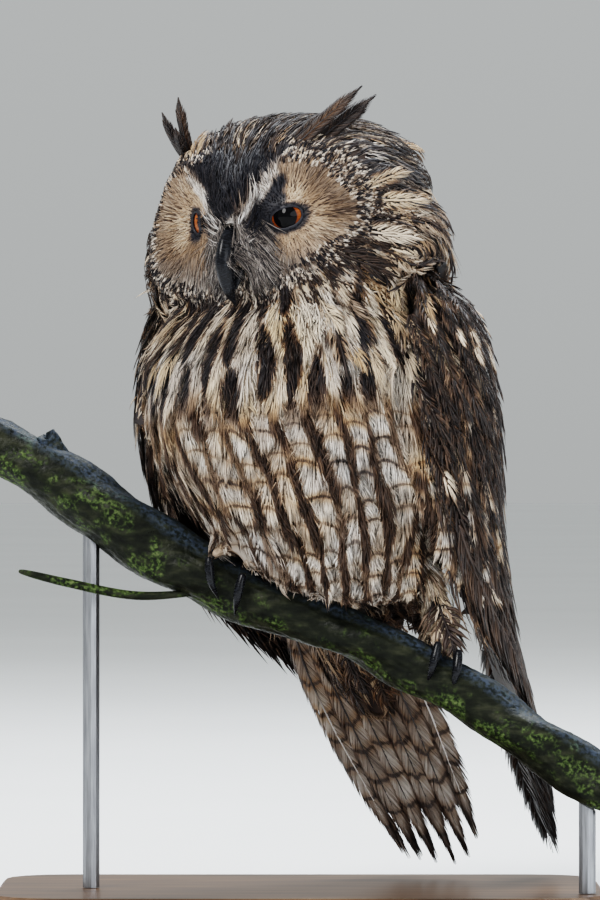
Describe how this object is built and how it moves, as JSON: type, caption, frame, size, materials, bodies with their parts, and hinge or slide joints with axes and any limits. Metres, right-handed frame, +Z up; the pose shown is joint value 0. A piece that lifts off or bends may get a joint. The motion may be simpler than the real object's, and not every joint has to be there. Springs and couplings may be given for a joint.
{
  "type": "long-eared owl on a perch",
  "caption": "Long-eared owl, life size, sitting hunched with rain-ruffled plumage on a short cut branch held by a plain flat stand.",
  "frame": {"origin": "middle of the flat underside of the stand's base", "axes": "+Z up; X along the perch, which falls towards +X; the owl faces -Y, turned towards -X, and its tail hangs towards +Y"},
  "size_m": [0.2593, 0.1556, 0.3297],
  "materials": {
    "plumage": "matt feathers, tawny and dark brown, partly wet",
    "face": "fine tan feathers with a speckled rim",
    "flight_feathers": "dark brown feathers with tawny bars, faint sheen",
    "eye": "orange iris round a black pupil, wet gloss",
    "horn": "black bill and claws with a slate sheen",
    "bark": "wet dark bark with green algae",
    "base_wood": "satin dark wood",
    "rod_steel": "dark brushed steel"
  },
  "bodies": {
    "root": {"head": "plumage", "facial_disc": "face", "bill_upper": "horn", "bill_lower": "horn", "eye_left": "eye", "eye_right": "eye", "ear_tuft_left": "flight_feathers", "ear_tuft_right": "flight_feathers", "neck": "plumage", "trunk": "plumage", "wing_left": "flight_feathers", "wing_right": "flight_feathers", "tail": "flight_feathers", "leg_left": "plumage", "leg_right": "plumage", "foot_left": "face", "foot_right": "face", "claw_left_inner": "horn", "claw_left_middle": "horn", "claw_left_outer": "horn", "claw_left_hind": "horn", "claw_right_inner": "horn", "claw_right_middle": "horn", "claw_right_outer": "horn", "claw_right_hind": "horn", "perch": "bark", "stand_base": "base_wood", "stand_rod_left": "rod_steel", "stand_rod_right": "rod_steel"}
  },
  "joints": []
}
